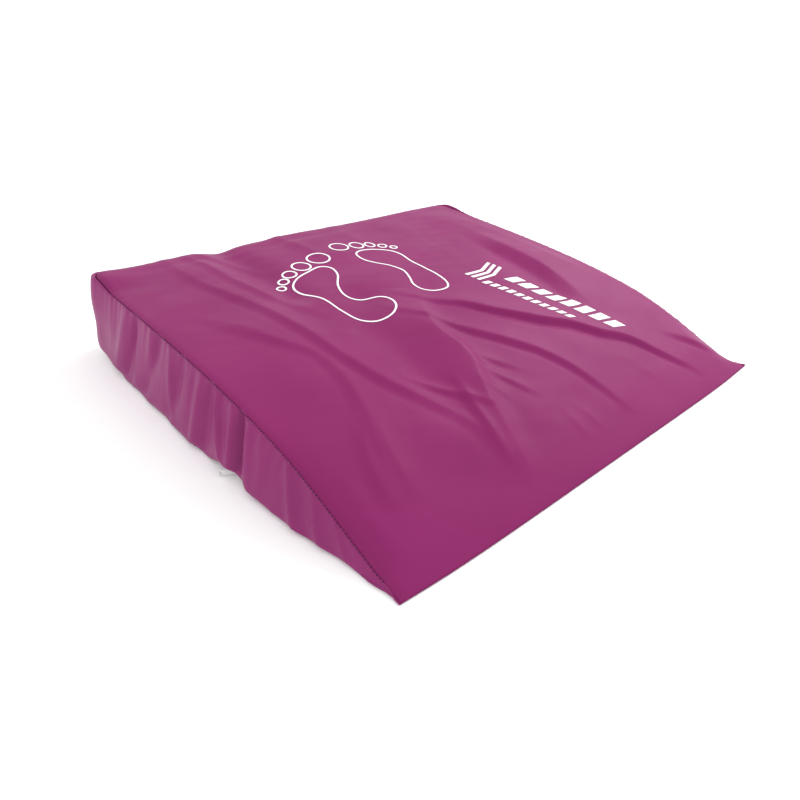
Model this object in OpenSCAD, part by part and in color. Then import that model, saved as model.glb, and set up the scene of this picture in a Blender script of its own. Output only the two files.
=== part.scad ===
// Wedge-shaped positioning cushion: a convex foam incline in a zipped fabric cover.
// X runs across the cushion, Y from the low edge to the high end, Z up.
// The origin is on the floor, under the middle of the cover.

/* [Cover] */
// Overall width of the cover
cover_w = 715; // [500:5:900]
// Overall length, from the low edge to the high end
cover_l = 650; // [450:5:800]
// Overall height at the high end
cover_h = 110; // [80:1:140]
// Radius of the two upright corners at the high end, seen from above
corner_r = 24; // [12:1:40]
// Thickness of the cover fabric
fabric_t = 0.6; // [0.4:0.1:0.8]
// Width of the flat seam allowance along the low edge
front_hem = 5; // [3:1:10]

/* [Incline] */
// Share of the rise that is a straight ramp
straight_share = 0.33; // [0.2:0.01:0.9]
// How early the rest of the rise eases off
ease = 4; // [2:0.5:5]

/* [Zip] */
// Where the zip starts on both sides, measured along Y
zip_front = -78; // [-120:1:-20]
// Width of the engaged pair of coils
chain_w = 4.2; // [3.8:0.1:4.6]
// Thickness of the coils
coil_t = 2; // [1.8:0.1:2.2]
// Thickness of the zip tapes
tape_t = 0.5; // [0.4:0.1:0.5]
// Height of the middle of the zip above the floor
zip_z = 5.3; // [5.2:0.1:5.6]
// Length of the pull tab from its crossbar
pull_l = 24; // [18:1:30]
// Angle of the resting pull tab, from straight out towards the high end
pull_rest = 25; // [0:5:60]

/* [Print] */
// Width of the printed lines
line_w = 3; // [2:0.5:4]
// Thickness of the printed film
film_t = 0.15; // [0.1:0.05:0.3]

/* [Hidden] */
$fn = 64;
eps = 0.01;

// Plan of the cover
half_w = cover_w / 2;
front_y = -cover_l / 2;
back_y = cover_l / 2;

// Zip section, as insets from the outer face of the band
tape_in = fabric_t;
tape_mid = tape_in + tape_t / 2;
coil_out = tape_mid - coil_t / 2;
coil_in = tape_mid + coil_t / 2;
plate_gap = 0.35;
plate_t = 0.9;
plate_out = coil_out - plate_gap;
plate_in = coil_in + plate_gap;
foam_inset = plate_in + plate_t + 0.55;

// Zip section, as heights
chain_lo = zip_z - chain_w / 2;
chain_hi = zip_z + chain_w / 2;
slider_half = 4.2;
hem_z = zip_z + slider_half + 0.5;
tape_hi = hem_z + 7;

// Slider: its length runs along the chain, and its nose is the end towards the stops
slider_l = 11;
post_l = 2;
coil_front = zip_front + 1;
slider_y = coil_front + slider_l / 2 - post_l - 0.3;
slot_half = tape_t / 2 + 0.3;
stop_l = 2.5;
stop_t = 2.2;
tape_front = slider_y - slider_l / 2 - 12;
hem_front = tape_front - 0.5;

// Hinge of the pull tab
bar_r = 0.75;
bar_off = 1.3;
hinge_inset = plate_out - plate_t - bar_off;
hinge_x = -half_w + hinge_inset;
bridge_half = 1.2;
bridge_in = 1.2;
bridge_out = 2.3;
window_half = 1.7;
window_end = 3;
pull_half = 3.6;
pull_t = 1.2;
eye_r = 1.6;

// Foam core and its rise
core_front = front_y + front_hem;
core_back = back_y - foam_inset;
core_rise = cover_h - 2 * fabric_t;
profile_steps = 36;
thread_w = 0.5;
thread_h = 0.9;

// Footprints: outline of each sole from the middle of its heel, toes towards +Y, big toe at +X
left_sole = [
    [42, 136], [33, 113], [9, 84], [-1, 58], [8, 38], [34, 26], [41, 6], [29, -17], [6, -30],
    [-19, -27], [-36, -7], [-41, 24], [-41, 60], [-50, 96], [-49, 116], [-40, 130], [-22, 141],
    [4, 149], [24, 154], [37, 149]
];
right_sole = [
    [34, 126], [25, 105], [12, 84], [6, 60], [14, 36], [24, 16], [25, -4], [14, -18], [-3, -23],
    [-19, -19], [-30, -3], [-35, 24], [-35, 55], [-34, 85], [-38, 113], [-34, 134], [-20, 149],
    [-3, 157], [17, 158], [32, 148]
];
// Toes from the big one outwards: middle X, middle Y, half width, half length
left_toes = [
    [46, 178, 20, 19], [5, 168, 16, 16], [-26, 156, 12, 12], [-45, 145, 9, 9.5], [-59, 131, 8, 8]
];
right_toes = [
    [39, 184, 17, 17], [7, 179, 13, 14], [-16, 173, 9.5, 11], [-33, 160, 8.5, 9], [-46, 146, 7, 7.5]
];
curve_steps = 4;
left_foot = [-83, 25, 2];
right_foot = [44, 40, -3];

// Printed mark: its place and direction, and its rows of slanted bars
mark_x = 158;
mark_y = 28;
mark_turn = -79;
bar_slant = 0.35;

// Share of the core's length at a place along Y
function along(y) = max(0, min(1, (y - core_front) / (core_back - core_front)));

// Height of the foam above the base panel
function rise(y) = core_rise
    * (straight_share * along(y) + (1 - straight_share) * (1 - pow(1 - along(y), ease)));

// Side profile of the incline, raised by lift, from the low edge to the high end
function profile(lift) = concat(
    [[front_y - 1, fabric_t + lift]],
    [for (i = [0:profile_steps])
        let (y = core_front + (core_back - core_front) * i / profile_steps)
        [y, fabric_t + rise(y) + lift]],
    [[back_y + 1, fabric_t + core_rise + lift]]
);

// Same list from its end to its start
function backwards(list) = [for (i = [len(list) - 1:-1:0]) list[i]];

// Point on the smooth closed curve through four neighbouring points, u from 0 to 1
function on_curve(a, b, c, d, u) =
    0.5 * (2 * b + (c - a) * u + (2 * a - 5 * b + 4 * c - d) * u * u
        + (3 * b - a - 3 * c + d) * u * u * u);

// Smooth closed curve through a ring of points
function closed_curve(p) = [
    for (i = [0:len(p) - 1], k = [0:curve_steps - 1])
    on_curve(p[i], p[(i + 1) % len(p)], p[(i + 2) % len(p)], p[(i + 3) % len(p)], k / curve_steps)
];

// A clockwise ring of points, moved inwards by a distance
function moved_in(p, gap) = [
    for (i = [0:len(p) - 1])
    let (t = p[(i + 1) % len(p)] - p[(i + len(p) - 1) % len(p)])
    p[i] + gap * [t[1], -t[0]] / norm(t)
];

// Rectangle of the cover, moved inwards, with round corners at the high end
module outline(inset, front) {
    r = corner_r - inset;
    w = half_w - inset;
    b = back_y - inset;
    translate([-w, front])
        square([2 * w, b - r - front]);
    translate([r - w, b - r - eps])
        square([2 * (w - r), r + eps]);
    for (side = [-1, 1])
        translate([side * (w - r), b - r])
            circle(r);
}

// Upright strip that follows both sides and the high end, from one inset to a deeper one
module strip(outer, inner, front, z0, z1) {
    translate([0, 0, z0])
        linear_extrude(z1 - z0)
            difference() {
                outline(outer, front);
                outline(inner, front - 1);
            }
}

// Everything under the incline, down from a lift above the foam
module under_incline(lift) {
    translate([-half_w - 10, 0, 0])
        rotate([90, 0, 90])
            linear_extrude(cover_w + 20)
                polygon(concat(profile(lift), [[back_y + 1, -1], [front_y - 1, -1]]));
}

// Layer that follows the incline, between two lifts above the foam
module incline_layer(lift0, lift1) {
    translate([-half_w - 10, 0, 0])
        rotate([90, 0, 90])
            linear_extrude(cover_w + 20)
                polygon(concat(profile(lift1), backwards(profile(lift0))));
}

// Flat drawing laid on the incline as a thin printed film
module printed() {
    intersection() {
        incline_layer(fabric_t, fabric_t + film_t);
        linear_extrude(cover_h + 10)
            children();
    }
}

// Convex wedge of foam; its low edge is as thin as a knife
module foam_core() {
    color("#e9e3cf")
        intersection() {
            translate([0, 0, fabric_t])
                linear_extrude(cover_h)
                    outline(foam_inset, core_front);
            under_incline(0);
        }
}

// Fabric over the incline, sewn to the band at its sides and to the base at the low edge
module top_panel() {
    color("#9f3f79")
        intersection() {
            linear_extrude(cover_h + 10)
                outline(0, front_y);
            incline_layer(0, fabric_t);
        }
}

// One strip of fabric round both sides and the high end; its hem is raised along the zip
module side_band() {
    color("#8a3368")
        intersection() {
            difference() {
                strip(0, fabric_t, core_front, fabric_t, cover_h);
                translate([-half_w - 10, hem_front, 0])
                    cube([cover_w + 20, cover_l, hem_z]);
            }
            under_incline(0);
        }
}

// Flat fabric under the foam, out to the zip
module base_panel() {
    color("#7c2f5e")
        linear_extrude(fabric_t)
            outline(0, front_y);
}

// Stitches that join the top panel to the band
module top_seam_thread() {
    color("#5e2447")
        intersection() {
            strip(-thread_w, 0, core_front + 20, 0, cover_h + 10);
            incline_layer(-1 - thread_h, -1);
        }
}

// Stitches that join the panels at the low edge and the band to the base in front of the zip
module base_seam_thread() {
    color("#5e2447")
        translate([0, 0, fabric_t])
            linear_extrude(thread_h)
                difference() {
                    outline(-thread_w, front_y - thread_w);
                    outline(0, front_y);
                    translate([-half_w - 10, hem_front - 2])
                        square([cover_w + 20, cover_l]);
                }
}

// Stitches that hold the upper zip tape to the hem of the band
module zip_seam_thread() {
    color("#5e2447")
        strip(-thread_w, 0, hem_front, hem_z + 2, hem_z + 2 + thread_h);
}

// Zip tape sewn behind the hem of the band
module zip_tape_upper() {
    color("white")
        strip(tape_in, tape_in + tape_t, tape_front, chain_hi, tape_hi);
}

// Zip tape standing on the edge of the base panel
module zip_tape_lower() {
    color("white")
        strip(tape_in, tape_in + tape_t, tape_front, fabric_t, chain_lo);
}

// Coil on the upper tape, as the strip that its turns fill
module zip_coil_upper() {
    color("#f2f2f0")
        strip(coil_out, coil_in, coil_front, zip_z, chain_hi - eps);
}

// Coil on the lower tape, as the strip that its turns fill
module zip_coil_lower() {
    color("#f2f2f0")
        strip(coil_out, coil_in, coil_front, chain_lo + eps, zip_z);
}

// Two small blocks that stop the slider when the zip is shut
module zip_top_stops() {
    color("#f2f2f0")
        for (z = [chain_lo, chain_hi - 1.8])
            translate([-half_w + tape_mid - stop_t / 2, slider_y - slider_l / 2 - 0.4 - stop_l, z])
                cube([stop_t, stop_l, 1.8]);
}

// Block that closes the far end of the chain, on the other side of the cushion
module zip_bottom_stop() {
    color("#f2f2f0")
        translate([half_w - tape_mid - stop_t / 2, coil_front - stop_l, chain_lo])
            cube([stop_t, stop_l, chain_w]);
}

// Side outline of the slider: narrow at its nose, which points at the stops
module slider_outline() {
    nose = -slider_l / 2;
    tail = slider_l / 2;
    polygon([
        [nose, -2.8], [nose + 2.3, -slider_half], [tail - 1, -slider_half], [tail, 0.8 - slider_half],
        [tail, slider_half - 0.8], [tail - 1, slider_half], [nose + 2.3, slider_half], [nose, 2.8]
    ]);
}

// Flat shape in the plane of the band, made solid between two insets
module slider_slab(outer, inner) {
    translate([-half_w + outer, slider_y, zip_z])
        rotate([90, 0, 90])
            linear_extrude(inner - outer)
                children();
}

// Edge of one slider plate, turned in over the coils
module slider_flange(outer, inner) {
    slider_slab(outer, inner)
        for (side = [-1, 1])
            translate([0.7 - slider_l / 2 + 1.6, side * (slider_half - 0.45) - 0.45])
                square([slider_l - 3.3, 0.9]);
}

// Two plates, joined by a post between the coils, with a bridge for the pull tab
module zip_slider() {
    color("#f4f4f2") {
        slider_slab(plate_out - plate_t, plate_out)
            slider_outline();
        slider_slab(plate_in, plate_in + plate_t)
            slider_outline();
        slider_flange(plate_out - eps, tape_mid - slot_half);
        slider_flange(tape_mid + slot_half, plate_in + eps);
        slider_slab(plate_out - eps, plate_in + eps)
            translate([0.2 - slider_l / 2, -0.9])
                square([post_l - 0.2, 1.8]);
        difference() {
            translate([hinge_x, slider_y, zip_z - bridge_half])
                cylinder(r = bridge_out, h = 2 * bridge_half);
            translate([hinge_x, slider_y, zip_z - bridge_half - 1])
                cylinder(r = bridge_in, h = 2 * bridge_half + 2);
            translate([-half_w + plate_out - plate_t / 2, slider_y - 5, 0])
                cube([10, 10, 20]);
        }
    }
}

// Flat tab that turns on an upright crossbar under the bridge
module zip_pull() {
    color("#e8e8e8")
        translate([hinge_x, slider_y, zip_z])
            rotate([0, 0, 180 - pull_rest]) {
                translate([0, 0, -pull_half])
                    cylinder(r = bar_r, h = 2 * pull_half);
                translate([0, pull_t / 2, 0])
                    rotate([90, 0, 0])
                        linear_extrude(pull_t)
                            pull_outline();
            }
}

// Side outline of the pull tab: a window for the bridge, then a long tab with an eye
module pull_outline() {
    difference() {
        union() {
            translate([0, -pull_half])
                square([pull_l - pull_half, 2 * pull_half]);
            translate([pull_l - pull_half, 0])
                circle(pull_half);
        }
        translate([-1, -window_half])
            square([window_end + 1, 2 * window_half]);
        translate([pull_l - pull_half, 0])
            circle(eye_r);
    }
}

// Line of the printed width along a closed curve of clockwise points
module drawn_line(p) {
    difference() {
        polygon(p);
        polygon(moved_in(p, line_w));
    }
}

// Oval as a clockwise ring of points
function oval(toe) = [
    for (i = [0:31])
    [toe[0] + toe[2] * sin(i * 360 / 32), toe[1] + toe[3] * cos(i * 360 / 32)]
];

// Outline of a left foot: one sole and five toes
module foot_outline(sole, toes) {
    drawn_line(closed_curve(sole));
    for (toe = toes)
        drawn_line(oval(toe));
}

// Printed outline of the left foot
module footprint_left() {
    color("white")
        printed()
            translate([left_foot[0], left_foot[1]])
                rotate(left_foot[2])
                    foot_outline(left_sole, left_toes);
}

// Printed outline of the right foot
module footprint_right() {
    color("white")
        printed()
            translate([right_foot[0], right_foot[1]])
                rotate(right_foot[2])
                    mirror([1, 0])
                        foot_outline(right_sole, right_toes);
}

// Row of slanted bars along the mark
module bar_row(start, v, h, w, pitch, count) {
    for (i = [0:count - 1])
        let (u = start + i * pitch)
        polygon([[u, v], [u + w, v], [u + w + h * bar_slant, v + h], [u + h * bar_slant, v + h]]);
}

// Plain printed mark: three chevrons, a row of wide bars and a row of small bars
module print_mark() {
    color("white")
        printed()
            translate([mark_x, mark_y])
                rotate(mark_turn) {
                    for (i = [0:2])
                        translate([i * 11 - 20, 0])
                            polygon([[0, -36], [6, -36], [14, 0], [6, 36], [0, 36], [8, 0]]);
                    bar_row(32, -2, 27, 17, 24, 8);
                    bar_row(14, -41, 14, 9, 14, 11);
                }
}

foam_core();
top_panel();
side_band();
base_panel();
top_seam_thread();
base_seam_thread();
zip_seam_thread();
zip_tape_upper();
zip_tape_lower();
zip_coil_upper();
zip_coil_lower();
zip_top_stops();
zip_bottom_stop();
zip_slider();
zip_pull();
footprint_left();
footprint_right();
print_mark();
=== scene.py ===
import math

import bmesh
import bpy
import numpy as np
from mathutils import Matrix, Vector
from mathutils.bvhtree import BVHTree


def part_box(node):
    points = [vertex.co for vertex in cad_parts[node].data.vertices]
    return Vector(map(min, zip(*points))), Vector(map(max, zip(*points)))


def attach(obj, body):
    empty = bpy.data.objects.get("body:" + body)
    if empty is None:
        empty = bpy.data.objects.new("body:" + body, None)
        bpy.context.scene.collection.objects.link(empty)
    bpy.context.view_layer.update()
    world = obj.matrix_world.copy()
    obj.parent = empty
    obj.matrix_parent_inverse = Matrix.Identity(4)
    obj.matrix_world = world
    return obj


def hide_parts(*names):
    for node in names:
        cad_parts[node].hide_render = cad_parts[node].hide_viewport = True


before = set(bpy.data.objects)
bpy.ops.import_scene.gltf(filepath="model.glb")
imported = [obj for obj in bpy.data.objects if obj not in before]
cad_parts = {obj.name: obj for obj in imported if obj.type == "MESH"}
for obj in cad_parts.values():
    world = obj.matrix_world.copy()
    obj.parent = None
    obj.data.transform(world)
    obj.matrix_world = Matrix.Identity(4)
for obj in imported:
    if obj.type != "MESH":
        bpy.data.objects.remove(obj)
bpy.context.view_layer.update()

MM = 0.001  # pieces are drawn in millimetres and made in metres; light and camera are in metres


# ---- Places taken from the frame ----

def box_mm(node):
    low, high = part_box(node)
    return np.array(low) / MM, np.array(high) / MM


base_low, base_high = box_mm("base_panel")
HALF_W = base_high[0]
FRONT = base_low[1]
BACK = base_high[1]
BASE_T = base_high[2]
core_low, core_high = box_mm("foam_core")
tape_high = box_mm("zip_tape_upper")[1]
coil_low, coil_high = box_mm("zip_coil_upper")
coil_base = box_mm("zip_coil_lower")[0][2]
slider_low, slider_high = box_mm("zip_slider")
SLIDER_Y = (slider_low[1] + slider_high[1]) / 2
ZIP_Z = coil_low[2]
TAPE_IN = HALF_W - tape_high[0] + 0.25
CORE_RISE = core_high[2] - core_low[2]

# The incline, as in the part: a straight ramp plus a rise that eases off
STRAIGHT_SHARE = 0.33
EASE = 4

# The seam between top panel and band, and the round corners at the high end
SEAM_IN = 7.0
CORNER_R = 26.0
FABRIC_T = 0.6
PANEL_LIFT = 0.5  # from the base panel up to the low edge of the top panel's outer face


# ---- Small tools ----

def smoothstep(x, low, high):
    t = np.clip((x - low) / (high - low), 0.0, 1.0)
    return t * t * (3 - 2 * t)


def spline_span(a, b, c, d, u):
    """Smooth curve from b to c, with neighbours a and d and u from 0 to 1."""
    return 0.5 * (2 * b + (c - a) * u + (2 * a - 5 * b + 4 * c - d) * u ** 2
                  + (3 * b - a - 3 * c + d) * u ** 3)


def curve_through(points, per_span):
    """Smooth open curve through a few points."""
    p = np.array(points, float)
    p = np.vstack([2 * p[0] - p[1], p, 2 * p[-1] - p[-2]])
    u = np.linspace(0, 1, per_span, endpoint=False)[:, None]
    spans = []
    for a, b, c, d in zip(p[:-3], p[1:-2], p[2:-1], p[3:]):
        spans.append(spline_span(a, b, c, d, u))
    return np.vstack(spans + [p[-2:-1]])


def closed_curve(points, per_span=10):
    """Smooth closed curve through a few points."""
    p = np.array(points, float)
    n = len(p)
    u = np.linspace(0, 1, per_span, endpoint=False)[:, None]
    spans = []
    for i in range(n):
        spans.append(spline_span(p[i - 1], p[i], p[(i + 1) % n], p[(i + 2) % n], u))
    return np.vstack(spans)


def distance_along(line):
    """Distance from the start of a line to each of its points."""
    steps = np.linalg.norm(np.diff(line, axis=0), axis=1)
    return np.concatenate([[0], np.cumsum(steps)])


def make_mesh(name, points, faces, material, smooth=True):
    """New object from points in millimetres."""
    mesh = bpy.data.meshes.new(name)
    mesh.from_pydata((np.asarray(points) * MM).tolist(), [], faces)
    mesh.validate()
    if smooth:
        mesh.shade_smooth()
    piece = bpy.data.objects.new(name, mesh)
    bpy.context.collection.objects.link(piece)
    piece.data.materials.append(material)
    return piece


def grid_faces(rows, cols, closed=False):
    """Quads of a grid whose points are listed row by row; closed joins the last column to the first."""
    last = cols if closed else cols - 1
    return [
        (r * cols + c, r * cols + (c + 1) % cols, (r + 1) * cols + (c + 1) % cols, (r + 1) * cols + c)
        for r in range(rows - 1) for c in range(last)
    ]


def apply_modifiers(piece):
    """Keeps the shape that the modifiers make and removes them."""
    depsgraph = bpy.context.evaluated_depsgraph_get()
    made = bpy.data.meshes.new_from_object(piece.evaluated_get(depsgraph))
    piece.modifiers.clear()
    piece.data = made


def thicken(piece, thickness, offset=-1.0):
    solid = piece.modifiers.new("thickness", "SOLIDIFY")
    solid.thickness = thickness * MM
    solid.offset = offset
    apply_modifiers(piece)


# ---- Materials ----

def new_material(name):
    material = bpy.data.materials.new(name)
    material.use_nodes = True
    nodes = material.node_tree.nodes
    return material, nodes, material.node_tree.links, nodes["Principled BSDF"]


def link_noise(nodes, links, coords, scale, detail):
    noise = nodes.new("ShaderNodeTexNoise")
    noise.inputs["Scale"].default_value = scale
    noise.inputs["Detail"].default_value = detail
    links.new(coords.outputs["Object"], noise.inputs["Vector"])
    return noise


def link_colour(nodes, links, shader, noise, dark, light):
    """Base colour that wanders between two shades."""
    ramp = nodes.new("ShaderNodeValToRGB")
    for stop, position, colour in zip(ramp.color_ramp.elements, (0.3, 0.7), (dark, light)):
        stop.position = position
        stop.color = (*colour, 1)
    links.new(noise.outputs["Fac"], ramp.inputs["Fac"])
    links.new(ramp.outputs["Color"], shader.inputs["Base Color"])


def link_roughness(nodes, links, shader, noise, low, high):
    rough_map = nodes.new("ShaderNodeMapRange")
    rough_map.inputs["To Min"].default_value = low
    rough_map.inputs["To Max"].default_value = high
    links.new(noise.outputs["Fac"], rough_map.inputs["Value"])
    links.new(rough_map.outputs["Result"], shader.inputs["Roughness"])


def new_bump(nodes, links, height, strength, distance):
    bump = nodes.new("ShaderNodeBump")
    bump.inputs["Strength"].default_value = strength
    bump.inputs["Distance"].default_value = distance
    links.new(height, bump.inputs["Height"])
    return bump


KNIT_SCALE = 450.0  # gives ribs 0.7 mm apart


def coated_fabric(name, dark, light, rough, ior):
    """Stretch fabric with a satin coating: fine knit, soft mottling, uneven gloss, small creases."""
    material, nodes, links, shader = new_material(name)
    coords = nodes.new("ShaderNodeTexCoord")
    mottle = link_noise(nodes, links, coords, scale=9.0, detail=4.0)
    link_colour(nodes, links, shader, mottle, dark, light)
    gloss = link_noise(nodes, links, coords, scale=40.0, detail=3.0)
    link_roughness(nodes, links, shader, gloss, rough - 0.05, rough + 0.06)
    shader.inputs["IOR"].default_value = ior
    # knit: three crossed sets of ribs under the coating
    knit = None
    for direction in ("X", "Y", "Z"):
        ribs = nodes.new("ShaderNodeTexWave")
        ribs.bands_direction = direction
        ribs.inputs["Scale"].default_value = KNIT_SCALE
        ribs.inputs["Distortion"].default_value = 0.4
        links.new(coords.outputs["Object"], ribs.inputs["Vector"])
        if knit is None:
            knit = ribs.outputs["Fac"]
            continue
        both = nodes.new("ShaderNodeMath")
        both.operation = "MULTIPLY"
        links.new(knit, both.inputs[0])
        links.new(ribs.outputs["Fac"], both.inputs[1])
        knit = both.outputs["Value"]
    bump = new_bump(nodes, links, knit, strength=0.08, distance=0.00005)
    crease = link_noise(nodes, links, coords, scale=60.0, detail=3.0)
    crease_bump = new_bump(nodes, links, crease.outputs["Fac"], strength=0.12, distance=0.0006)
    links.new(bump.outputs["Normal"], crease_bump.inputs["Normal"])
    links.new(crease_bump.outputs["Normal"], shader.inputs["Normal"])
    return material


def plain_finish(name, colour, rough, grain_scale, grain_depth):
    """Solid colour with slight mottling and a fine grain."""
    material, nodes, links, shader = new_material(name)
    coords = nodes.new("ShaderNodeTexCoord")
    grain = link_noise(nodes, links, coords, grain_scale, detail=3.0)
    link_colour(nodes, links, shader, grain, [c * 0.88 for c in colour], colour)
    link_roughness(nodes, links, shader, grain, rough - 0.06, rough + 0.06)
    bump = new_bump(nodes, links, grain.outputs["Fac"], strength=0.3, distance=grain_depth)
    links.new(bump.outputs["Normal"], shader.inputs["Normal"])
    return material


COVER = coated_fabric("cover_fabric", (0.196, 0.0150, 0.098), (0.214, 0.0170, 0.108), 0.40, 1.19)
# the band is the cover's own magenta made lighter and bluer: painted light for the light that falls on the
# side
BAND_PAINTED_LIGHT = coated_fabric("band_fabric_painted_light", (0.208, 0.0180, 0.112), (0.226, 0.0205, 0.122), 0.44, 1.30)
BASE = coated_fabric("base_fabric", (0.18, 0.012, 0.085), (0.20, 0.014, 0.092), 0.55, 1.30)
THREAD = plain_finish("thread", (0.040, 0.007, 0.026), 0.7, 900.0, 0.0001)
TAPE = plain_finish("zip_tape", (0.82, 0.82, 0.82), 0.8, 700.0, 0.00015)
COIL = plain_finish("zip_coil", (0.85, 0.85, 0.84), 0.4, 300.0, 0.00003)
ENAMEL = plain_finish("zip_enamel", (0.80, 0.80, 0.80), 0.35, 200.0, 0.00002)
FILM = plain_finish("print_film", (0.90, 0.90, 0.91), 0.45, 150.0, 0.00002)
FOAM = plain_finish("foam", (0.78, 0.74, 0.60), 0.95, 500.0, 0.0008)


# ---- Height of the top panel ----

def rise(y):
    t = np.clip((y - core_low[1]) / (core_high[1] - core_low[1]), 0.0, 1.0)
    return CORE_RISE * (STRAIGHT_SHARE * t + (1 - STRAIGHT_SHARE) * (1 - (1 - t) ** EASE))


# Each fold: points along its crest from the high end down, height at its start, middle and end,
# width of its flanks towards +X and -X, and depth of the hollow beyond the steeper flank.
# Many of these points are the output of a scratch script; report.md says how many.
FOLDS = [
    # long fold from the high end down the left half, and its neighbour nearer the side
    ([(-246, 322), (-238, 220), (-215, 130), (-201, 40), (-194, -45), (-184, -100), (-168, -145),
      (-143, -205), (-137, -250), (-142, -305)], (1.4, 4.0, 0.8), 22, 8, 0.7),
    ([(-290, 110), (-262, 55), (-240, 15), (-218, -30), (-221, -85), (-232, -125), (-250, -170),
      (-290, -250)], (0.3, 2.4, 0.4), 20, 8, 0.4),
    # short folds that fan out from the high end
    ([(-214, 324), (-200, 265), (-193, 200), (-180, 135), (-163, 80), (-146, 35)],
     (1.8, 2.6, 0.3), 14, 8, 0.5),
    ([(-196, 322), (-175, 290), (-155, 245), (-133, 195)], (2.0, 1.8, 0.2), 12, 9, 0.3),
    ([(-290, 130), (-268, 85), (-248, 40), (-236, -10)], (0.2, 1.6, 0.2), 16, 9, 0.2),
    ([(-48, 324), (-36, 260), (-28, 190)], (2.2, 1.8, 0.2), 14, 12, 0.2),
    ([(70, 324), (64, 270), (70, 215)], (1.2, 1.0, 0.1), 16, 16, 0.1),
    # folds round the hollow in the middle
    ([(8, 40), (-30, -20), (-50, -62), (-55, -115), (-62, -142), (-80, -172), (-95, -202),
      (-106, -232), (-118, -262), (-135, -304)], (0.8, 12.0, 1.0), 15, 46, 0.0),
    ([(-104, -150), (-114, -180), (-124, -215), (-131, -245), (-137, -268)],
     (0.6, 3.0, 0.4), 8, 6, 0.5),
    ([(-158, -116), (-140, -148), (-120, -175), (-99, -205)], (0.5, 2.6, 1.2), 7, 5, 0.4),
    # folds that run from the hollow to the low edge
    ([(-66, 20), (-36, -34), (-6, -84), (24, -130), (49, -166), (65, -205), (72, -238),
      (80, -300)], (0.5, 4.6, 0.6), 24, 6, 0.9),
    ([(-54, -108), (-36, -138), (-20, -160), (-3, -180)], (0.5, 2.0, 0.2), 14, 5, 0.4),
    ([(-60, -148), (-45, -172), (-34, -197), (-20, -222)], (0.5, 2.0, 0.2), 12, 5, 0.4),
    ([(-80, -172), (-70, -192), (-63, -213)], (0.3, 1.2, 0.2), 10, 5, 0.2),
    # the strong fold under the mark
    ([(-20, 42), (6, 6), (35, -26), (56, -60), (81, -90), (111, -120), (145, -146),
      (172, -180), (205, -207), (231, -250), (252, -286), (268, -322)],
     (0.8, 7.6, 1.2), 36, 5.5, 2.0),
    # broad fold along the right side
    ([(282, 190), (268, 110), (262, 25), (251, -50), (238, -92), (222, -150)],
     (0.6, 6.6, 0.6), 46, 16, 1.6),
    ([(282, -222), (308, -254), (332, -282), (350, -308)], (0.6, 3.6, 1.6), 22, 6, 0.8),
    # faint ripples near the low edge
    ([(-250, -140), (-263, -166), (-285, -210), (-298, -258)], (0.4, 1.8, 0.5), 12, 8, 0.4),
    ([(-232, -150), (-252, -198), (-264, -250)], (0.3, 1.4, 0.4), 12, 9, 0.3),
    ([(-12, -248), (-16, -285), (-22, -316)], (0.1, 0.7, 0.2), 7, 6, 0.1),
    ([(11, -250), (14, -288), (12, -318)], (0.1, 0.7, 0.2), 8, 6, 0.1),
    ([(150, -215), (170, -262), (180, -312)], (0.1, 0.6, 0.2), 12, 9, 0.1),
]

# Broad hollows and swells: points along the middle, half width, height
SWELLS = [
    ([(-80, 60), (-112, 10), (-126, -60), (-130, -120), (-136, -190)], 30, -3.5),
    ([(-152, 330), (-150, 270), (-152, 200), (-150, 120)], 26, -7.0),
    ([(-235, 330), (-232, 270)], 60, 2.5),
    ([(-20, 330), (-10, 240)], 60, 3.0),
    ([(232, 70), (214, 0), (200, -80)], 24, -3.0),
    ([(300, 250), (300, 0)], 60, 2.5),
    ([(60, -60), (130, -230)], 60, 2.5),
    ([(-250, -60), (-230, 60)], 50, 2.0),
]


def nearest_on(curve, x, y):
    """Distance to a curve (positive on its left), and the place along it from 0 to 1."""
    best = np.full(x.shape, 1e9)
    signed = np.zeros(x.shape)
    place = np.zeros(x.shape)
    lengths = distance_along(curve)
    for i in range(len(curve) - 1):
        ax, ay = curve[i]
        dx, dy = curve[i + 1] - curve[i]
        span = math.hypot(dx, dy) + 1e-9
        t = np.clip(((x - ax) * dx + (y - ay) * dy) / span ** 2, 0, 1)
        ox, oy = x - ax - t * dx, y - ay - t * dy
        dist = np.hypot(ox, oy)
        nearer = dist < best
        side = np.where(dx * oy - dy * ox >= 0, 1.0, -1.0)
        best = np.where(nearer, dist, best)
        signed = np.where(nearer, dist * side, signed)
        place = np.where(nearer, (lengths[i] + t * span) / lengths[-1], place)
    return signed, place


def fold_height(x, y):
    """All folds and swells together."""
    total = np.zeros(x.shape)
    for points, (start, middle, end), left_w, right_w, hollow in FOLDS:
        curve = curve_through(points, 8)
        s, t = nearest_on(curve, x, y)
        swell = np.clip(np.sin(math.pi * t), 0, 1) ** 1.2
        envelope = np.where(t < 0.5, start + (middle - start) * swell, end + (middle - end) * swell)
        left = np.exp(-(np.abs(s) / left_w) ** 1.4)
        right = np.exp(-(np.abs(s) / right_w) ** 1.4)
        crest = np.where(s > 0, left, right)
        steep_side = -1.0 if right_w < left_w else 1.0
        steep = min(left_w, right_w)
        trough = np.exp(-((s - steep_side * 1.9 * steep) / (0.8 * steep)) ** 2)
        ends = np.exp(-(s * ((t <= 0) | (t >= 1)) / 14.0) ** 2)
        total += envelope * crest * ends
        total -= hollow * np.sin(math.pi * np.clip(t, 0.02, 0.98)) * trough * ends
    for points, width, height in SWELLS:
        s, t = nearest_on(curve_through(points, 6), x, y)
        total += height * np.exp(-(s / width) ** 2)
    return total


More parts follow.
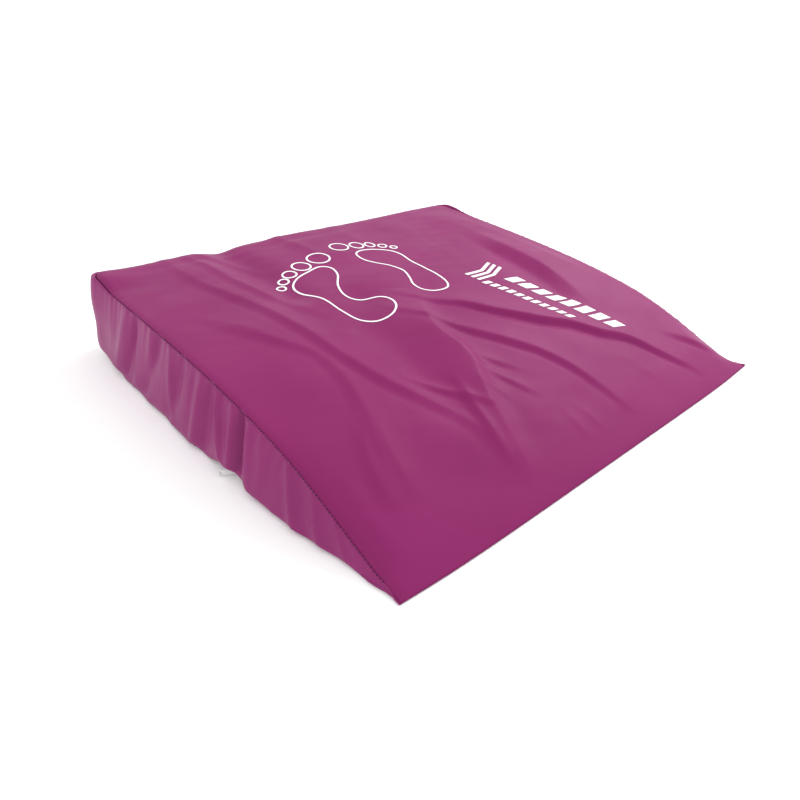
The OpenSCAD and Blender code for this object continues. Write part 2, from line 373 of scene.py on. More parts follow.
def soft_noise(x, y, size, seed):
    """Smooth random swell of about one millimetre, with features of the given size."""
    waves = np.random.default_rng(seed)
    total = np.zeros(x.shape)
    for _ in range(14):
        angle = waves.uniform(0, 2 * math.pi)
        pitch = size * waves.uniform(0.7, 1.8)
        phase = waves.uniform(0, 2 * math.pi)
        total += np.sin((x * math.cos(angle) + y * math.sin(angle)) * 2 * math.pi / pitch + phase)
    return total / 5.0


def top_height(x, y, side_gap, back_gap, low_edge):
    """Height of the top panel over a place, from its distances to the side and back seams."""
    edge_gap = np.minimum(side_gap, back_gap)
    front_gap = y - FRONT
    shift = (core_low[1] - low_edge) * (1 - smoothstep(y - low_edge, 0, 90))
    z = BASE_T + PANEL_LIFT + rise(y + shift) + 1.1 * smoothstep(front_gap, 0, 60)
    inside = smoothstep(edge_gap, 0, 45) * smoothstep(front_gap, 4, 60)
    at_back = smoothstep(y, BACK - 120, BACK - 10)
    inside = np.maximum(inside, at_back * smoothstep(side_gap, 0, 45) * 0.8)
    z += fold_height(x, y) * inside
    z += 0.9 * soft_noise(x, y, 110, 3) * inside
    z += 0.16 * soft_noise(x, y, 38, 5) * inside
    # the panel rolls down to its seams, most of all along the front of the sides
    roll = np.clip(1 - edge_gap / 9.0, 0, 1)
    z -= 2.2 * roll ** 2
    wide_roll = np.clip(1 - side_gap / 34.0, 0, 1)
    front_part = smoothstep(-y, 120, 290) * smoothstep(front_gap, 0, 40)
    z -= 8.0 * wide_roll ** 1.7 * front_part
    # puckers where the seams gather the fabric
    pucker = np.exp(-edge_gap / 9.0) * np.sin(y * 0.52 + 1.5 * np.sin(y * 0.071))
    z += 0.18 * pucker * smoothstep(front_gap, 10, 60)
    # the left corner at the high end puffs up, and its seam sinks in
    corner = np.exp(-((x + HALF_W - 12) / 40) ** 2) * smoothstep(y, 225, 300)
    z += 8.0 * np.exp(-((x + HALF_W - 8) / 42) ** 2) * smoothstep(y, 245, 298)
    z -= 2.5 * roll * corner
    return np.maximum(z, BASE_T + PANEL_LIFT + 1.2 * smoothstep(y - low_edge, 0, 12))


# ---- Top panel ----

COLS = 301
ROWS = 277
LOW_EDGE_BOW = 5.0
LEFT_EAR = 3.0
RIGHT_EAR = 11.0


def plan_points():
    """Plan of the top panel as a grid from the low edge to the high end."""
    a = np.linspace(-1, 1, COLS)[None, :].repeat(ROWS, 0)
    b = np.linspace(0, 1, ROWS)[:, None].repeat(COLS, 1)
    half = HALF_W - SEAM_IN
    back = BACK - SEAM_IN + 2
    x = a * half
    y = FRONT - 1 + b * (back - FRONT + 1)
    # round corners at the high end
    dx = np.clip((np.abs(x) - (half - CORNER_R)) / CORNER_R, 0, 1)
    dy = np.clip((y - (back - CORNER_R)) / CORNER_R, 0, 1)
    rx = dx * np.sqrt(1 - dy ** 2 / 2)
    ry = dy * np.sqrt(1 - dx ** 2 / 2)
    side_gap = np.maximum(half - np.abs(x), 0)
    back_gap = np.maximum(back - y, 0)
    x = np.where((dx > 0) & (dy > 0), np.sign(x) * (half - CORNER_R + rx * CORNER_R), x)
    y = np.where((dx > 0) & (dy > 0), back - CORNER_R + ry * CORNER_R, y)
    # the low edge bows out a little between its pointed corners
    low = smoothstep(1 - b, 0.86, 1.0)
    y = y - low * LOW_EDGE_BOW * (1 - a ** 6)
    low_edge = FRONT - 1 - LOW_EDGE_BOW * (1 - a ** 6)
    corner = np.exp(-((1 - np.abs(a)) * half / 16) ** 2) * np.exp(-(b * (back - FRONT) / 14) ** 2)
    x = x + np.sign(a) * corner * np.where(a > 0, RIGHT_EAR, LEFT_EAR)
    return x, y, side_gap, back_gap, low_edge


def blurred(z, times):
    """Light smoothing that leaves the border alone."""
    for _ in range(times):
        inner = (z[:-2, 1:-1] + z[2:, 1:-1] + z[1:-1, :-2] + z[1:-1, 2:]) / 4
        z = z.copy()
        z[1:-1, 1:-1] = 0.5 * z[1:-1, 1:-1] + 0.5 * inner
    return z


plan_x, plan_y, gap_side, gap_back, plan_low = plan_points()
plan_z = blurred(top_height(plan_x, plan_y, gap_side, gap_back, plan_low), 2)
top_points = np.stack([plan_x, plan_y, plan_z], -1)
top_panel = make_mesh("cover_top_panel", top_points.reshape(-1, 3), grid_faces(ROWS, COLS), COVER)
drape = BVHTree.FromPolygons(top_points.reshape(-1, 3).tolist(), grid_faces(ROWS, COLS))
ABOVE = 300  # a height over every part of the cover
thicken(top_panel, FABRIC_T)
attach(top_panel, "cushion")
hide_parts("top_panel")


def fabric_under(x, y):
    """Place and normal of the top panel straight below a point."""
    return drape.ray_cast(Vector((x, y, ABOVE)), Vector((0, 0, -1)))[:2]


# ---- Side band ----

BAND_ROWS = 46
HEM_Z = 10.2  # over the zip
LOW_HEM_Z = 1.2  # where the band is sewn to the base panel
LOW_LIP = 2.2
ZIP_START = SLIDER_Y - 25


def seam_line():
    """The top panel's seam from the low left corner round the high end to the low right corner."""
    left = top_points[:, 0]
    back = top_points[-1, 1:-1]
    right = top_points[::-1, -1]
    return np.vstack([left, back, right])


def outward_normals(line):
    """Outward directions in plan, averaged over a few points either way."""
    reach = 3
    ahead = np.roll(line, -reach, 0) - np.roll(line, reach, 0)
    ahead[:reach + 1] = line[reach + 1] - line[0]
    ahead[-reach - 1:] = line[-1] - line[-reach - 2]
    normal = np.stack([-ahead[:, 1], ahead[:, 0]], -1)
    return normal / np.linalg.norm(normal, axis=1)[:, None]


def tip_inset(y):
    """How far the sides draw in towards the two pointed low corners."""
    return 6.4 * smoothstep(-np.asarray(y, float), 285, 324)


# Swell of the band past its hem: place along Y, and how far out
LEFT_SWELL = [
    (-325, 0), (-300, 1), (-262, 5), (-203, 11), (-154, 16), (-112, 15), (-98, 14), (-84, 18),
    (-60, 17), (-35, 17), (17, 19), (90, 16), (150, 14), (200, 13), (252, 10), (290, 8), (325, 6.5),
]
RIGHT_SWELL = [(-325, 0), (-260, 5), (-150, 13), (0, 17), (150, 14), (260, 7), (325, 6)]


def bulge_of(line):
    """How far the band swells out past its hem, how low its lip hangs, and how far it is zipped."""
    x, y = line[:, 0], line[:, 1]
    left = np.interp(y, *zip(*LEFT_SWELL))
    right = np.interp(y, *zip(*RIGHT_SWELL))
    back = 6 + 6 * np.cos(np.clip(x / 340, -1, 1) * math.pi / 2)
    at_back = smoothstep(y, BACK - 40, BACK - 12)
    bulge = np.where(x < 0, left, right) * (1 - at_back) + back * at_back
    zipped = smoothstep(y, ZIP_START - 22, ZIP_START - 2)
    near_slider = np.exp(-((y - SLIDER_Y) / 34) ** 4)
    toward_corner = smoothstep(y, 190, 285)
    lip = 2.2 + np.maximum(8.6 * near_slider, 9.6 * toward_corner)
    lip = np.where(x > 0, 4 + 6 * toward_corner, lip)
    return bulge, lip, zipped


def band_points():
    line = seam_line()
    normal = outward_normals(line[:, :2])
    bulge, lip, zipped = bulge_of(line)
    hem_z = LOW_HEM_Z + (HEM_Z - LOW_HEM_Z) * zipped
    top_z = line[:, 2]
    tall = top_z - hem_z
    squeeze = smoothstep(tall, 2, 45)
    bulge = bulge * squeeze
    seam_in = SEAM_IN - tip_inset(line[:, 1])
    lip = np.minimum(lip * zipped + LOW_LIP * (1 - zipped), hem_z + 0.25 * np.maximum(tall, 0) + 0.4)
    # section: out from the seam, heights from the seam down to the hem
    fall = np.maximum(top_z - lip, 0.8)
    # the corners at the high end puff out and up round the seam
    puff = smoothstep(line[:, 1], 225, 300) * np.clip(np.abs(normal[:, 0]) * 1.4 - 0.4, 0, 1)
    outs = [0 * bulge, 0.25 * seam_in + 3.8 * puff, seam_in * 0.55 + 0.42 * bulge + 4 * puff,
            seam_in * 0.85 + 0.75 * bulge, seam_in + 0.98 * bulge, seam_in + bulge,
            seam_in + 0.86 * bulge, seam_in + 0.45 * bulge, seam_in + 0.2 + 0 * bulge]
    heights = [top_z, top_z - 0.03 * fall + 6 * puff, top_z - 0.33 * fall + 6 * puff, top_z - 0.62 * fall,
               top_z - 0.86 * fall, lip + 0.045 * fall + 0.6, lip, 0.45 * lip + 0.55 * hem_z, hem_z]
    section = np.stack([np.stack([o, z], -1) for o, z in zip(outs, heights)])
    padded = np.concatenate([2 * section[:1] - section[1:2], section, 2 * section[-1:] - section[-2:-1]])
    spans = len(section) - 1
    rows = []
    for u in np.linspace(0, spans - 1e-6, BAND_ROWS):
        i = int(u)
        f = u - i
        rows.append(spline_span(padded[i], padded[i + 1], padded[i + 2], padded[i + 3], f))
    rows = np.stack(rows)
    down = np.linspace(0, 1, BAND_ROWS)[:, None]
    rows[:, :, 0] += pleats(line, down, tall, rows[:, :, 0])
    out = rows[:, :, 0]
    x = line[None, :, 0] + normal[None, :, 0] * out
    y = line[None, :, 1] + normal[None, :, 1] * out
    return np.stack([x, y, np.maximum(rows[:, :, 1], 0.7)], -1)


# Pleats of the left side: place at the seam, place at the lip, height, width.
# Some of the places are the output of a scratch script; see report.md.
LEFT_PLEATS = [
    (290, 296, 1.4, 12), (236, 262, 1.6, 14), (182, 265, 4.2, 13), (166, 205, -2.4, 7),
    (152, 242, -4.4, 8), (117, 150, 3.0, 10), (91, 187, -5.8, 11), (72, 76, 2.4, 6),
    (34, 109, -5.2, 11), (12, 44, -1.8, 6), (-8, 40, 3.6, 9), (-26, 12, -5.2, 9),
    (-30, -54, 4.8, 6), (-46, -48, -2.2, 6), (-70, -54, 3.8, 7), (-85, -66, -12.5, 6),
    (-101, -96, 4.2, 9), (-128, -104, 2.8, 12), (-165, -188, 4.4, 7), (-184, -206, -1.4, 8),
    (-204, -234, 3.4, 7), (-238, -280, 3.0, 7), (-262, -300, 1.8, 6),
]


def pleats(line, down, tall, outs):
    """Outward offsets of the band: listed pleats on the left, random ones elsewhere."""
    lean = -1.03 * (outs - 9.5)
    y = line[None, :, 1]
    x = line[None, :, 0]
    along = distance_along(line[:, :2])[None, :]
    envelope = (np.minimum(1.0, down * 4.5) * smoothstep(1 - down, 0.08, 0.4)
                * (1 - 0.6 * smoothstep(down, 0.4, 0.7)))
    size = smoothstep(tall, 3, 40)[None, :]
    total = np.zeros((BAND_ROWS, len(line)))
    left = (x < -HALF_W + SEAM_IN + 30)
    for at_seam, at_lip, height, width in LEFT_PLEATS:
        middle = at_seam + (at_lip - at_seam) * down * 1.15 + lean
        spread = width * (0.6 + 1.5 * down)
        total += left * height * envelope * np.exp(-np.abs((y - middle) / spread) ** 1.7)
    # random pleats from a little past the round corner on the left
    spots = np.random.default_rng(21)
    place = 690.0
    while place < along[0, -1] - 30:
        slant = spots.uniform(-22, 22)
        height = spots.uniform(1.2, 3.4) * spots.choice([1, 1, -1])
        width = spots.uniform(6, 12)
        middle = place + slant * down
        spread = width * (0.55 + 1.1 * down)
        total += height * envelope * np.exp(-np.abs((along - middle) / spread) ** 1.7)
        place += spots.uniform(16, 34)
    fine = np.sin(along * 0.45 + 2.0 * np.sin(along * 0.045)) * np.exp(-down * 9.0)
    total += 1.1 * fine * smoothstep(down, 0, 0.07) * smoothstep(-line[None, :, 1], -300, -230)
    total += 1.1 * soft_noise(along + 0 * down, down * 70 + 0 * along, 75, 9) * envelope
    return total * size


band_grid = band_points()
side_band = make_mesh("cover_side_band", band_grid.reshape(-1, 3), grid_faces(*band_grid.shape[:2]), BAND_PAINTED_LIGHT)
thicken(side_band, FABRIC_T)
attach(side_band, "cushion")
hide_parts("side_band")


# ---- Base panel ----

def outline_points(inset, count):
    """Plan of the base panel, from the low left corner round the high end and back."""
    w, b, r = HALF_W - inset, BACK - inset, CORNER_R - 2
    turn = np.linspace(0, math.pi / 2, 9)
    left = [(tip_inset(y) - w, y) for y in np.linspace(FRONT, b - r, count, endpoint=False)]
    corner_l = [(-w + r - r * math.cos(t), b - r + r * math.sin(t)) for t in turn]
    back = [(x, b) for x in np.linspace(-w + r, w - r, count)[1:-1]]
    corner_r = [(w - r + r * math.sin(t), b - r + r * math.cos(t)) for t in turn]
    right = [(w - tip_inset(y), y) for y in np.linspace(b - r, FRONT, count + 1)[1:]]
    tip = w - tip_inset(FRONT)
    front = [(x, FRONT - 0.8 * LOW_EDGE_BOW * (1 - (x / tip) ** 6))
             for x in np.linspace(tip, -tip, count)[1:-1]]
    return left + corner_l + back + corner_r + right + front


def make_base():
    ring = outline_points(0.3, 80)
    build = bmesh.new()
    under = [build.verts.new((x * MM, y * MM, 0)) for x, y in ring]
    build.faces.new(under)
    bmesh.ops.triangulate(build, faces=build.faces[:])
    mesh = bpy.data.meshes.new("cover_base_panel")
    build.to_mesh(mesh)
    build.free()
    piece = bpy.data.objects.new("cover_base_panel", mesh)
    bpy.context.collection.objects.link(piece)
    piece.data.materials.append(BASE)
    thicken(piece, BASE_T, 1.0)
    low = min(v.co.z for v in piece.data.vertices)
    for v in piece.data.vertices:
        v.co.z -= low
    return piece


base_panel = make_base()
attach(base_panel, "cushion")
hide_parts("base_panel")


# ---- Foam core ----

def make_core():
    """Foam wedge that stays under the fabric, with slightly rounded edges."""
    cols, rows = 61, 57
    xs = np.linspace(core_low[0] + 1, core_high[0] - 1, cols)
    ys = np.linspace(core_low[1] + 2, core_high[1] - 1, rows)
    x, y = np.meshgrid(xs, ys)
    half = core_high[0]
    r = CORNER_R - 6
    dx = np.clip((np.abs(x) - (half - r)) / r, 0, 1)
    dy = np.clip((y - (core_high[1] - r)) / r, 0, 1)
    both = (dx > 0) & (dy > 0)
    px = np.where(both, np.sign(x) * (half - r + dx * np.sqrt(1 - dy ** 2 / 2) * r), x)
    py = np.where(both, core_high[1] - r + dy * np.sqrt(1 - dx ** 2 / 2) * r, y)
    px = px * (1 - 1.2 * tip_inset(py - 4) / half)
    z = np.empty(px.shape)
    for index in np.ndindex(px.shape):
        hit = fabric_under(px[index], py[index])[0]
        cover = hit.z if hit is not None else BASE_T + 2
        z[index] = max(min(BASE_T + rise(np.array(py[index])), cover - 2.2), BASE_T + 0.3)
    upper = np.stack([px, py, z], -1).reshape(-1, 3)
    lower = np.stack([px, py, np.full(px.shape, BASE_T + 0.05)], -1).reshape(-1, 3)
    n = len(upper)
    faces = grid_faces(rows, cols)
    under = [tuple(n + i for i in reversed(f)) for f in faces]
    rim = (list(range(cols)) + [r * cols + cols - 1 for r in range(1, rows)]
           + [(rows - 1) * cols + c for c in range(cols - 2, -1, -1)]
           + [r * cols for r in range(rows - 2, 0, -1)])
    walls = [(rim[i], n + rim[i], n + rim[(i + 1) % len(rim)], rim[(i + 1) % len(rim)])
             for i in range(len(rim))]
    return make_mesh("foam_wedge", np.vstack([upper, lower]), faces + under + walls, FOAM, smooth=False)


foam = make_core()
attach(foam, "cushion")
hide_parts("foam_core")


# ---- Prints, draped on the top panel ----

FILM_LIFT = 0.35
FILM_T = 0.12
LINE_W = 3.0
# Each sole from the big toe's side, clockwise; many points are the output of a scratch script,
# see report.md. Toes: middle, half width and half length.
LEFT_SOLE = [
    (42, 136), (33, 113), (9, 84), (-1, 58), (8, 38), (34, 26), (41, 6), (29, -17), (6, -30),
    (-19, -27), (-36, -7), (-41, 24), (-41, 60), (-50, 96), (-49, 116), (-40, 130), (-22, 141),
    (4, 149), (24, 154), (37, 149),
]
RIGHT_SOLE = [
    (34, 126), (25, 105), (12, 84), (6, 60), (14, 36), (24, 16), (25, -4), (14, -18), (-3, -23),
    (-19, -19), (-30, -3), (-35, 24), (-35, 55), (-34, 85), (-38, 113), (-34, 134), (-20, 149),
    (-3, 157), (17, 158), (32, 148),
]
LEFT_TOES = [(46, 178, 20, 19), (5, 168, 16, 16), (-26, 156, 12, 12), (-45, 145, 9, 9.5),
             (-59, 131, 8, 8)]
RIGHT_TOES = [(39, 184, 17, 17), (7, 179, 13, 14), (-16, 173, 9.5, 11), (-33, 160, 8.5, 9),
              (-46, 146, 7, 7.5)]


def on_fabric(points):
    """Points of a flat drawing moved straight down onto the fabric, then out along its normal."""
    draped = []
    for x, y in points:
        hit, normal = fabric_under(x, y)
        if hit is None:  # exactly on an edge between two faces
            hit, normal = fabric_under(x + 0.05, y + 0.03)
        if normal.z < 0:
            normal = -normal
        draped.append(hit + normal * FILM_LIFT)
    return [tuple(p) for p in draped]


def closed_ribbon(points, width):
    """Draped ribbon inside a closed line: points and faces."""
    p = np.array(points)
    ahead = np.roll(p, -1, 0) - np.roll(p, 1, 0)
    inward = np.stack([ahead[:, 1], -ahead[:, 0]], -1) / np.linalg.norm(ahead, axis=1)[:, None]
    rows = [p + inward * width * f for f in (0.0, 0.33, 0.67, 1.0)]
    flat = np.vstack(rows)
    return on_fabric(flat), grid_faces(len(rows), len(p), closed=True)


def patch(corners, step=2.5):
    """Draped four-sided patch: points and faces."""
    a, b, c, d = (np.array(q, float) for q in corners)
    across = max(2, int(np.linalg.norm(b - a) / step) + 1)
    deep = max(2, int(np.linalg.norm(d - a) / step) + 1)
    points = []
    for j in range(deep):
        v = j / (deep - 1)
        for i in range(across):
            u = i / (across - 1)
            points.append((a + (b - a) * u) * (1 - v) + (d + (c - d) * u) * v)
    return on_fabric(points), grid_faces(deep, across)


def print_piece(name, parts, node):
    points, faces = [], []
    for part_points, part_faces in parts:
        faces += [tuple(i + len(points) for i in f) for f in part_faces]
        points += part_points
    piece = make_mesh(name, points, faces, FILM)
    thicken(piece, FILM_T, 0.0)
    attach(piece, "cushion")
    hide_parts(node)


def foot(place, turn, sole, toes, mirror):
    """Ribbons of one foot: its sole and five toes."""
    c, s = math.cos(math.radians(turn)), math.sin(math.radians(turn))

    def placed(points):
        q = np.array(points, float)
        q[:, 0] *= -1 if mirror else 1
        q = q[::-1] if mirror else q
        return np.stack([place[0] + c * q[:, 0] - s * q[:, 1], place[1] + s * q[:, 0] + c * q[:, 1]], -1)

    outlines = [closed_curve(sole)]
    angles = np.linspace(0, 2 * math.pi, 40, endpoint=False)
    for x, y, half_x, half_y in toes:
        outlines.append([(x + half_x * math.sin(t), y + half_y * math.cos(t)) for t in angles])
    return [closed_ribbon(placed(o), LINE_W) for o in outlines]


print_piece("left_foot_print", foot((-83, 25), 2, LEFT_SOLE, LEFT_TOES, False), "footprint_left")
print_piece("right_foot_print", foot((44, 40), -3, RIGHT_SOLE, RIGHT_TOES, True), "footprint_right")

MARK_PLACE = (158, 28)
MARK_TURN = -79
CHEVRONS, CHEVRON_START, CHEVRON_PITCH = 3, -20, 11
STROKE, POINT, HALF_TALL = 6, 8, 36
BAR_SLANT = 0.35
# Rows of bars: start, foot, height, width, pitch and number
BAR_ROWS = ((32, -2, 27, 17, 24, 8), (14, -41, 14, 9, 14, 11))


def mark_parts():
    """Chevrons, wide bars and small bars, in the mark's own directions."""
    c, s = math.cos(math.radians(MARK_TURN)), math.sin(math.radians(MARK_TURN))

    def placed(corners):
        return [(MARK_PLACE[0] + c * u - s * v, MARK_PLACE[1] + s * u + c * v) for u, v in corners]

    parts = []
    for i in range(CHEVRONS):
        u = i * CHEVRON_PITCH + CHEVRON_START
        tip, far = u + POINT, u + POINT + STROKE
        parts.append(patch(placed([(u, -HALF_TALL), (u + STROKE, -HALF_TALL), (far, 0), (tip, 0)])))
        parts.append(patch(placed([(tip, 0), (far, 0), (u + STROKE, HALF_TALL), (u, HALF_TALL)])))
    for start, v, height, width, pitch, count in BAR_ROWS:
        lean = height * BAR_SLANT
        for i in range(count):
            u = start + i * pitch
            parts.append(patch(placed([(u, v), (u + width, v), (u + width + lean, v + height),
                                       (u + lean, v + height)])))
    return parts


print_piece("side_mark_print", mark_parts(), "print_mark")


# ---- Stitches ----

def stitch_rows(name, line, normals, pitch, length, radius, sink, node):
    """Short dashes of thread along a line of points."""
    along = distance_along(line)
    points, faces = [], []
    sides = 6
    for start in np.arange(2, along[-1] - 4, pitch):
        at = start + np.linspace(0, length, 4)
        spine = np.stack([np.interp(at, along, line[:, k]) for k in range(3)], -1)
        out = np.stack([np.interp(at, along, normals[:, k]) for k in range(3)], -1)
        out /= np.linalg.norm(out, axis=1)[:, None]
        heading = spine[-1] - spine[0]
        heading /= np.linalg.norm(heading)
        across = np.cross(heading, out)
        arch = np.array([-sink, 0.25, 0.25, -sink])
        first = len(points)
        for i in range(4):
            size = radius * (0.55 if i in (0, 3) else 1.0)
            for k in range(sides):
                angle = 2 * math.pi * k / sides
                points.append(spine[i] + out[i] * (arch[i] + size * math.sin(angle))
                              + across[i] * size * math.cos(angle))
        faces += [(first + r * sides + k, first + r * sides + (k + 1) % sides,
                   first + (r + 1) * sides + (k + 1) % sides, first + (r + 1) * sides + k)
                  for r in range(3) for k in range(sides)]
        faces.append(tuple(first + k for k in reversed(range(sides))))
        faces.append(tuple(first + 3 * sides + k for k in range(sides)))
    piece = make_mesh(name, points, faces, THREAD)
    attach(piece, "cushion")
    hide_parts(node)


def line_with_normals(grid, row, neighbour):
    """A row of the band and its outward normals."""
    line = grid[row]
    ahead = np.gradient(line, axis=0)
    down = grid[neighbour] - line
    normal = np.cross(down, ahead)
    return line, normal / (np.linalg.norm(normal, axis=1)[:, None] + 1e-9)


# top seam: along the edge where the top panel meets the band, facing out and up
edge = seam_line()
seam_out = np.column_stack([outward_normals(edge[:, :2]), np.ones(len(edge))]) / math.sqrt(2)
keep = slice(10, len(edge) - 10)
stitch_rows("top_seam_stitches", (edge + 0.45 * seam_out)[keep], seam_out[keep],
            pitch=4.4, length=1.0, radius=0.75, sink=0.3, node="top_seam_thread")

hem_line, hem_normal = line_with_normals(band_grid, BAND_ROWS - 5, BAND_ROWS - 6)
hem_normal = -hem_normal if hem_normal[len(hem_line) // 2, 2] > 0 else hem_normal
zipped_part = np.flatnonzero((hem_line[:, 1] > ZIP_START) & (hem_line[:, 2] > 6))
stitch_rows("zip_seam_stitches", hem_line[zipped_part], hem_normal[zipped_part],
            pitch=4.0, length=2.4, radius=0.35, sink=0.1, node="zip_seam_thread")

# base seam: inside the low edge and the front of the sides, through the seam allowance
ring = np.array(outline_points(1.8, 120))
in_front = [p for p in ring if p[1] < ZIP_START - 22]
left_run = sorted([p for p in in_front if p[0] < 0 and p[1] > FRONT], key=lambda p: -p[1])
low_run = sorted([p for p in in_front if p[1] <= FRONT], key=lambda p: p[0])
right_run = sorted([p for p in in_front if p[0] > 0 and p[1] > FRONT], key=lambda p: p[1])
base_line = np.array([(x, y, BASE_T + 0.25) for x, y in left_run + low_run + right_run])
stitch_rows("base_seam_stitches", base_line, np.tile([0.0, 0.0, 1.0], (len(base_line), 1)),
            pitch=4.4, length=2.7, radius=0.35, sink=0.2, node="base_seam_thread")


# ---- Zip ----

def zip_path(inset, step):
    """Plan of the zip line: left side, high end and right side, with even steps."""
    w, b, r = HALF_W - inset, BACK - inset, CORNER_R - 2 - inset
    turn = np.linspace(0, math.pi / 2, 24)
    line = [(-w, ZIP_START)]
    line += [(-w + r - r * math.cos(t), b - r + r * math.sin(t)) for t in turn]
    line += [(w - r + r * math.sin(t), b - r + r * math.cos(t)) for t in turn]
    line += [(w, ZIP_START)]
    line = np.array(line)
    along = distance_along(line)
    at = np.arange(0, along[-1], step)
    return np.stack([np.interp(at, along, line[:, k]) for k in range(2)], -1)


def plan_normals(line):
    ahead = np.gradient(line, axis=0)
    normal = np.stack([-ahead[:, 1], ahead[:, 0]], -1)
    return normal / np.linalg.norm(normal, axis=1)[:, None]


def zip_tape(name, z_low, z_high, node):
    """Woven tape: an upright strip with fine ribs across it."""
    line = zip_path(TAPE_IN, 3.0)
    normal = plan_normals(line)
    heights = np.linspace(z_low, z_high, 6)
    rows = []
    for k, z in enumerate(heights):
        ripple = 0.05 * (-1) ** k
        rows.append(np.column_stack([line + normal * ripple, np.full(len(line), z)]))
    piece = make_mesh(name, np.vstack(rows), grid_faces(len(rows), len(line)), TAPE)
    thicken(piece, 0.45, 0.0)
    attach(piece, "cushion")
    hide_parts(node)


def zip_coil(name, z_tape, z_mesh, node):
    """Nylon coil: flattened turns wound round the edge of the tape."""
    turn_points, sides = 8, 5
    pitch, wire, half_thick = 1.5, 0.34, 1.0
    line = zip_path(TAPE_IN, pitch / turn_points)
    start = np.flatnonzero(line[:, 1] > coil_low[1])
    line = line[start[0]:start[-1] + 1]
    normal = plan_normals(line)
    phase = 2 * math.pi * np.arange(len(line)) / turn_points
    middle = (z_tape + z_mesh) / 2
    half = abs(z_tape - z_mesh) / 2 - wire
    reach = half_thick - wire
    centre = np.column_stack([line + normal * (reach * np.cos(phase))[:, None],
                              middle + half * np.sin(phase)])
    ahead = np.gradient(centre, axis=0)
    ahead /= np.linalg.norm(ahead, axis=1)[:, None]
    axis = np.column_stack([np.gradient(line, axis=0), np.zeros(len(line))])
    axis /= np.linalg.norm(axis, axis=1)[:, None]
    side = np.cross(ahead, axis)
    side /= np.linalg.norm(side, axis=1)[:, None]
    up = np.cross(side, ahead)
    rings = []
    for k in range(sides):
        angle = 2 * math.pi * k / sides
        rings.append(centre + wire * (side * math.cos(angle) + up * math.sin(angle)))
    points = np.stack(rings, 1).reshape(-1, 3)
    faces = grid_faces(len(centre), sides, closed=True)
    faces.append(tuple(range(sides))[::-1])
    faces.append(tuple((len(centre) - 1) * sides + k for k in range(sides)))
    piece = make_mesh(name, points, faces, COIL)
    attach(piece, "cushion")
    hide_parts(node)


zip_tape("upper_zip_tape", coil_high[2] - 0.2, HEM_Z + 4, "zip_tape_upper")
zip_tape("lower_zip_tape", BASE_T, coil_base + 0.2, "zip_tape_lower")
zip_coil("upper_zip_coil", coil_high[2], ZIP_Z, "zip_coil_upper")
zip_coil("lower_zip_coil", coil_base, ZIP_Z, "zip_coil_lower")


def rounded_copy(name, node, body, radius):
    """Copy of a small cast part with its edges rounded."""
    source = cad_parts[node]
    piece = bpy.data.objects.new(name, source.data.copy())
    bpy.context.collection.objects.link(piece)
    piece.data.materials.clear()
    piece.data.materials.append(ENAMEL)
    build = bmesh.new()
    build.from_mesh(piece.data)
    bmesh.ops.remove_doubles(build, verts=build.verts[:], dist=0.01 * MM)
    bmesh.ops.dissolve_limit(build, angle_limit=math.radians(2), verts=build.verts[:],
                             edges=build.edges[:])
    build.to_mesh(piece.data)
    build.free()
    bevel = piece.modifiers.new("rounding", "BEVEL")
    bevel.width = radius * MM
    bevel.segments = 3
    bevel.limit_method = "ANGLE"
    bevel.angle_limit = math.radians(40)
    apply_modifiers(piece)
    piece.data.shade_smooth()
    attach(piece, body)
    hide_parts(node)


rounded_copy("slider_body", "zip_slider", "zip_slider", 0.18)
rounded_copy("pull_tab", "zip_pull", "zip_pull", 0.22)
rounded_copy("top_stops", "zip_top_stops", "cushion", 0.3)
rounded_copy("bottom_stop", "zip_bottom_stop", "cushion", 0.3)


# ---- Stage, light and camera ----

floor_mesh = bpy.data.meshes.new("floor")
floor_mesh.from_pydata([(-60, -60, 0), (60, -60, 0), (60, 60, 0), (-60, 60, 0)], [], [(0, 1, 2, 3)])
floor = bpy.data.objects.new("floor", floor_mesh)
floor.location.z = -0.0002  # just under the base panel, so that the two don't flicker
bpy.context.collection.objects.link(floor)
floor_finish, _, _, floor_shader = new_material("floor")
floor_shader.inputs["Base Color"].default_value = (0.97, 0.97, 0.97, 1)
floor_shader.inputs["Roughness"].default_value = 0.9
floor.data.materials.append(floor_finish)


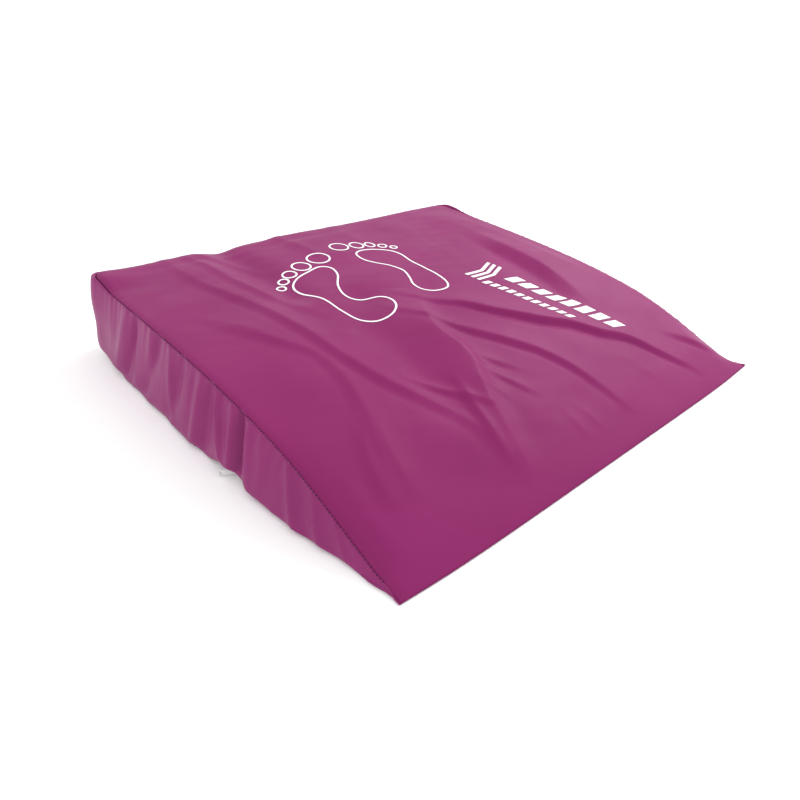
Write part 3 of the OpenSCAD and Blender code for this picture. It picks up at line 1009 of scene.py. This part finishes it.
def softbox(name, place, target, size, power, mirrored):
    lamp = bpy.data.lights.new(name, "AREA")
    lamp.shape = "RECTANGLE"
    lamp.size, lamp.size_y = size
    lamp.energy = power
    holder = bpy.data.objects.new(name, lamp)
    holder.location = place
    holder.rotation_euler = (Vector(target) - Vector(place)).to_track_quat("-Z", "Y").to_euler()
    holder.visible_glossy = mirrored
    bpy.context.collection.objects.link(holder)


softbox("key", (2.2, 0.4, 1.75), (0, 0, 0), (1.5, 1.5), 16, True)
softbox("key_diffuser", (2.5, 0.6, 1.5), (0, 0, 0), (1.4, 1.4), 54, False)
softbox("low_right", (1.2, -0.45, 0.8), (0.2, -0.2, 0), (0.7, 0.7), 6, False)
softbox("fill", (-2.2, 0.9, 1.1), (0, 0, 0.05), (1.4, 1.4), 15, False)

bpy.context.scene.view_settings.view_transform = "Standard"
bpy.context.scene.view_settings.look = "None"

world = bpy.data.worlds.new("studio")
bpy.context.scene.world = world
world.use_nodes = True
world.node_tree.nodes["Background"].inputs["Color"].default_value = (1, 1, 1, 1)
world.node_tree.nodes["Background"].inputs["Strength"].default_value = 1.04

CAMERA_PLACE = (-0.6412, -0.6111, 0.4473)
AZIMUTH, DOWN, ROLL = (math.radians(a) for a in (44.1, 30.6, 2.54))
LENS, SENSOR = 29.72, 36

forward = Vector((math.sin(AZIMUTH) * math.cos(DOWN), math.cos(AZIMUTH) * math.cos(DOWN), -math.sin(DOWN)))
level = forward.cross(Vector((0, 0, 1))).normalized()
upward = level.cross(forward)
right = level * math.cos(ROLL) + upward * math.sin(ROLL)
up = upward * math.cos(ROLL) - level * math.sin(ROLL)
camera_data = bpy.data.cameras.new("camera")
camera_data.lens = LENS
camera_data.sensor_width = SENSOR
camera = bpy.data.objects.new("camera", camera_data)
camera.matrix_world = Matrix((
    (right.x, up.x, -forward.x, CAMERA_PLACE[0]),
    (right.y, up.y, -forward.y, CAMERA_PLACE[1]),
    (right.z, up.z, -forward.z, CAMERA_PLACE[2]),
    (0, 0, 0, 1),
))
bpy.context.collection.objects.link(camera)
bpy.context.scene.camera = camera
